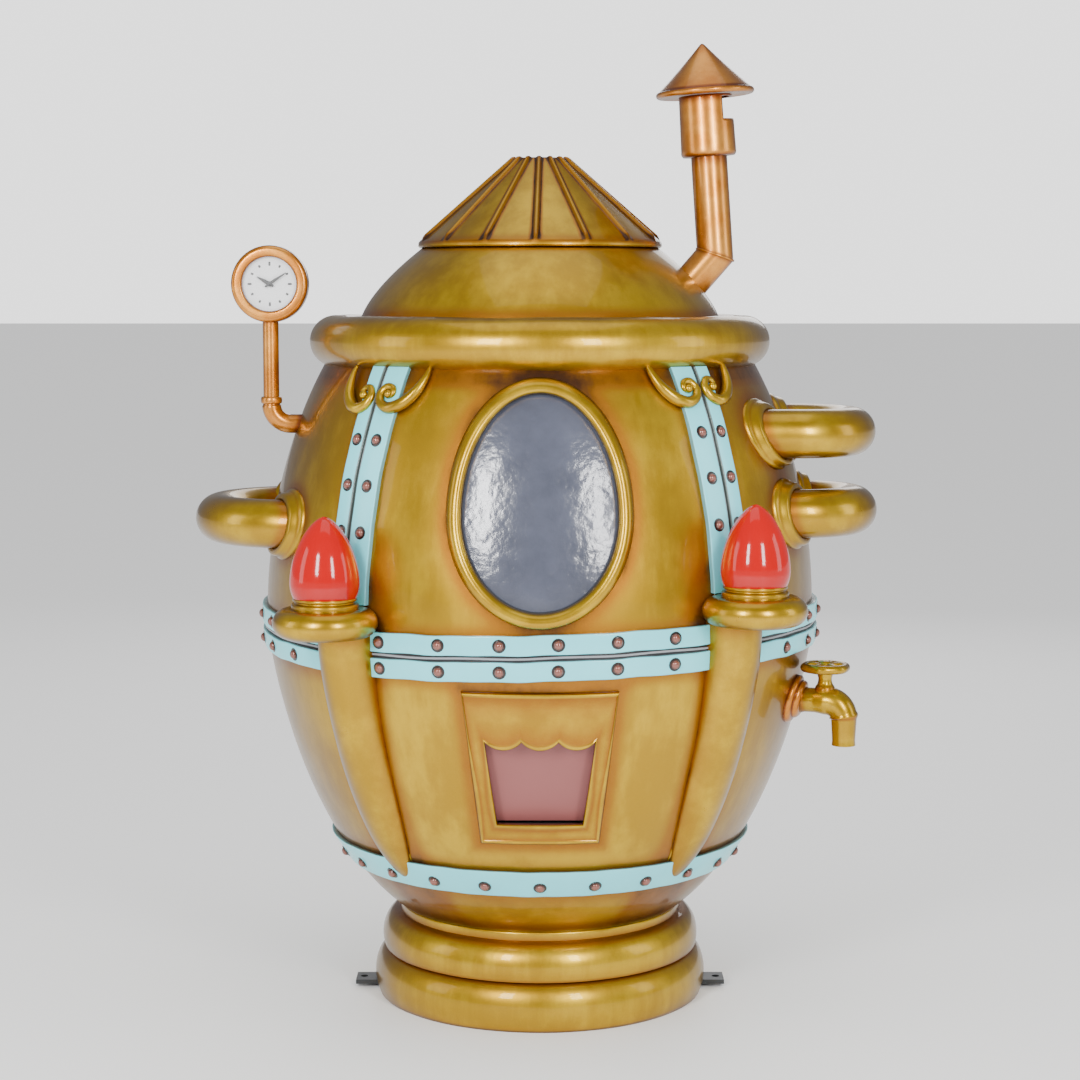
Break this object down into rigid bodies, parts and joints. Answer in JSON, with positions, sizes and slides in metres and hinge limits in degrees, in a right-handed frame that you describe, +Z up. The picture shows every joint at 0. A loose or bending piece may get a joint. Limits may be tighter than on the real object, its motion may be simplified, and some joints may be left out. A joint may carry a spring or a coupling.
{
  "type": "boiler-shaped treat machine",
  "caption": "Egg-shaped moulded boiler amusement machine on a turned base, with window, delivery hatch, lamps, pipe loops, tap, clock and chimney.",
  "frame": {"origin": "on the body's axis at the floor", "axes": "+Z up, front faces -Y, +X to the right seen from the front"},
  "size_m": [1.201, 1.0124, 1.6975],
  "materials": {
    "gold_paint": "metallic gold paint with a brown patina, glossy",
    "copper_paint": "metallic copper paint, glossy",
    "turquoise_paint": "pale turquoise paint, satin",
    "rivet_paint": "copper-brown paint, glossy",
    "lamp_red": "translucent red, glossy",
    "window_smoke": "smoke-tinted, glossy",
    "clear_glass": "clear",
    "flap_mauve": "satin",
    "dial_white": "printed",
    "black_plastic": "moulded",
    "rubber_black": "moulded",
    "black_steel": "black paint",
    "zinc_steel": "zinc plated",
    "grey_steel": "grey paint",
    "plywood": "varnished plywood",
    "white_plastic": "moulded",
    "hopper_plastic": "clear"
  },
  "bodies": {
    "machine": {"anchor_bar": "black_steel", "base_feet": "rubber_black", "base_frame": "grey_steel", "base_shell": "gold_paint", "lower_shell": "gold_paint", "bottom_strip": "turquoise_paint", "belt_strip_lower": "turquoise_paint", "belt_strip_upper": "turquoise_paint", "strip_rivets": "rivet_paint", "front_panel": "gold_paint", "rear_shell": "gold_paint", "side_strips": "turquoise_paint", "scroll_ornaments": "gold_paint", "brim_ring": "gold_paint", "dome_shell": "gold_paint", "ribbed_cap": "gold_paint", "window_bezel": "gold_paint", "window_gasket": "rubber_black", "window_pane": "window_smoke", "hatch_frame": "gold_paint", "hatch_tray": "grey_steel", "flap_pin": "zinc_steel", "column_left": "gold_paint", "column_right": "gold_paint", "lamp_shelf_left": "gold_paint", "lamp_shelf_right": "gold_paint", "lamp_collars": "gold_paint", "lamp_dome_left": "lamp_red", "lamp_dome_right": "lamp_red", "lamp_bulbs": "white_plastic", "pipe_loop_left": "gold_paint", "pipe_loop_upper": "gold_paint", "pipe_loop_lower": "gold_paint", "loop_collars": "gold_paint", "tap_flange": "copper_paint", "tap_body": "gold_paint", "clock_pipe": "copper_paint", "clock_case": "copper_paint", "clock_movement": "black_plastic", "clock_dial": "dial_white", "clock_glass": "clear_glass", "chimney_pipe": "copper_paint", "chimney_cowl": "copper_paint", "chimney_cap": "copper_paint", "inner_deck": "plywood", "hopper": "hopper_plastic", "gear_motor": "grey_steel", "delivery_chute": "zinc_steel", "control_unit": "zinc_steel", "power_inlet": "black_plastic", "door_hinges": "zinc_steel"},
    "flap": {"delivery_flap": "flap_mauve"},
    "rotor": {"dosing_rotor": "white_plastic", "rotor_gear": "zinc_steel"},
    "pinion": {"drive_pinion": "zinc_steel"},
    "door": {"service_door": "gold_paint"},
    "lock": {"door_lock": "zinc_steel"},
    "handwheel": {"tap_handwheel": "gold_paint"},
    "hour": {"hour_hand": "black_plastic"},
    "minute": {"minute_hand": "black_plastic"}
  },
  "joints": [
    {"name": "flap_hinge", "type": "hinge", "parent": "machine", "child": "flap", "pos_m": [0, -0.44422, 0.558], "axis": [1, 0, 0], "range_deg": [0, 60]},
    {"name": "rotor_spin", "type": "hinge", "parent": "machine", "child": "rotor", "pos_m": [0, 0, 0.666], "axis": [0, 0, 1], "continuous": true},
    {"name": "pinion_spin", "type": "hinge", "parent": "machine", "child": "pinion", "pos_m": [0, 0.084, 0.634], "axis": [0, 0, 1], "continuous": true},
    {"name": "door_swing", "type": "hinge", "parent": "machine", "child": "door", "pos_m": [-0.16, 0.45564, 0.89], "axis": [0, -0.1866, 0.9824], "range_deg": [0, 110]},
    {"name": "lock_turn", "type": "hinge", "parent": "door", "child": "lock", "pos_m": [0.104, 0.45808, 0.89], "axis": [0, -1, 0], "range_deg": [0, 90]},
    {"name": "wheel_turn", "type": "hinge", "parent": "machine", "child": "handwheel", "pos_m": [0.49425, -0.17989, 0.606], "axis": [0, 0, 1], "range_deg": [0, 720]},
    {"name": "minute_spin", "type": "hinge", "parent": "machine", "child": "minute", "pos_m": [-0.47074, -0.083, 1.276], "axis": [0, 1, 0], "continuous": true},
    {"name": "hour_spin", "type": "hinge", "parent": "machine", "child": "hour", "pos_m": [-0.47074, -0.083, 1.276], "axis": [0, 1, 0], "continuous": true}
  ],
  "couplings": [
    {"joint": "pinion_spin", "follows": "rotor_spin", "ratio": -2.5},
    {"joint": "hour_spin", "follows": "minute_spin", "ratio": 0.083333}
  ]
}
